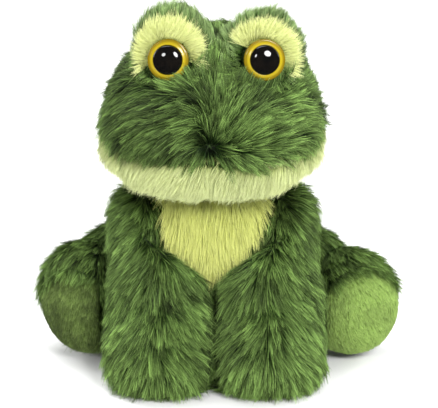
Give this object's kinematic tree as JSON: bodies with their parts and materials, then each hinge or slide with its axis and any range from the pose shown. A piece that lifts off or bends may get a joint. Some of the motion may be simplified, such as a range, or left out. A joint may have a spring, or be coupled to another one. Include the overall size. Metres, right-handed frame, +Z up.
{
  "type": "plush frog",
  "caption": "Sitting fur-fabric frog with a wide smiling head, raised amber eyes, front legs that stand between splayed hind legs, and pellet-weighted paws.",
  "frame": {"origin": "middle of the bottom of the whole frog, on the surface that it sits on", "axes": "+Z up, the frog faces -Y, and left in the names is the side at -X, which is at the left of the picture"},
  "size_m": [0.1914, 0.132, 0.1938],
  "materials": {
    "fur_green": "long pile, dark roots and pale tips",
    "fur_pale": "long pile, pale yellow green",
    "fur_yellow": "long pile, soft yellow",
    "sole_velour": "short smooth pile",
    "fibre_fill": "loose polyester fibre",
    "pouch_cloth": "thin plain weave",
    "pellet_plastic": "small smooth pellets",
    "seam_thread": "twisted polyester thread",
    "amber_plastic": "gloss",
    "black_plastic": "gloss",
    "washer_plastic": "satin"
  },
  "bodies": {
    "torso": {"body_panel_left": "fur_green", "body_panel_right": "fur_green", "seat_panel": "fur_green", "chest_bib": "fur_yellow", "closing_thread": "seam_thread", "body_stuffing": "fibre_fill", "seat_pouch": "pouch_cloth", "seat_pellets": "pellet_plastic"},
    "neck": {"neck_thread": "seam_thread"},
    "head": {"head_panel_left": "fur_green", "head_panel_right": "fur_green", "chin_panel": "fur_pale", "eye_mound_left": "fur_green", "eye_mound_right": "fur_green", "eyelid_left": "fur_pale", "eyelid_right": "fur_pale", "iris_left": "amber_plastic", "iris_right": "amber_plastic", "pupil_left": "black_plastic", "pupil_right": "black_plastic", "eye_washer_left": "washer_plastic", "eye_washer_right": "washer_plastic", "head_stuffing": "fibre_fill"},
    "front_leg_left": {"front_leg_left_outer_panel": "fur_green", "front_leg_left_inner_panel": "fur_green", "front_leg_left_stuffing": "fibre_fill", "front_leg_left_pouch": "pouch_cloth", "front_leg_left_pellets": "pellet_plastic"},
    "hind_leg_left": {"hind_leg_left_fur": "fur_green", "hind_leg_left_sole": "sole_velour", "hind_leg_left_stuffing": "fibre_fill", "hind_leg_left_pouch": "pouch_cloth", "hind_leg_left_pellets": "pellet_plastic"},
    "front_leg_right": {"front_leg_right_outer_panel": "fur_green", "front_leg_right_inner_panel": "fur_green", "front_leg_right_stuffing": "fibre_fill", "front_leg_right_pouch": "pouch_cloth", "front_leg_right_pellets": "pellet_plastic"},
    "hind_leg_right": {"hind_leg_right_fur": "fur_green", "hind_leg_right_sole": "sole_velour", "hind_leg_right_stuffing": "fibre_fill", "hind_leg_right_pouch": "pouch_cloth", "hind_leg_right_pellets": "pellet_plastic"}
  },
  "joints": [
    {"name": "head_turn", "type": "hinge", "parent": "torso", "child": "neck", "pos_m": [-0.00269, 0.0076, 0.098], "axis": [0, 0, 1], "range_deg": [-35, 35], "stiffness_Nm_per_rad": 0.05},
    {"name": "head_nod", "type": "hinge", "parent": "neck", "child": "head", "pos_m": [-0.00269, 0.0076, 0.098], "axis": [-1, 0, 0], "range_deg": [0, 15]},
    {"name": "front_leg_left_swing", "type": "hinge", "parent": "torso", "child": "front_leg_left", "pos_m": [-0.03869, 0.0016, 0.0725], "axis": [-1, 0, 0], "range_deg": [0, 45]},
    {"name": "hind_leg_left_swing", "type": "hinge", "parent": "torso", "child": "hind_leg_left", "pos_m": [-0.04269, 0.0396, 0.03], "axis": [-1, 0, 0], "range_deg": [0, 40]},
    {"name": "front_leg_right_swing", "type": "hinge", "parent": "torso", "child": "front_leg_right", "pos_m": [0.03331, 0.0016, 0.0725], "axis": [-1, 0, 0], "range_deg": [0, 45]},
    {"name": "hind_leg_right_swing", "type": "hinge", "parent": "torso", "child": "hind_leg_right", "pos_m": [0.03731, 0.0396, 0.03], "axis": [-1, 0, 0], "range_deg": [0, 40]}
  ]
}
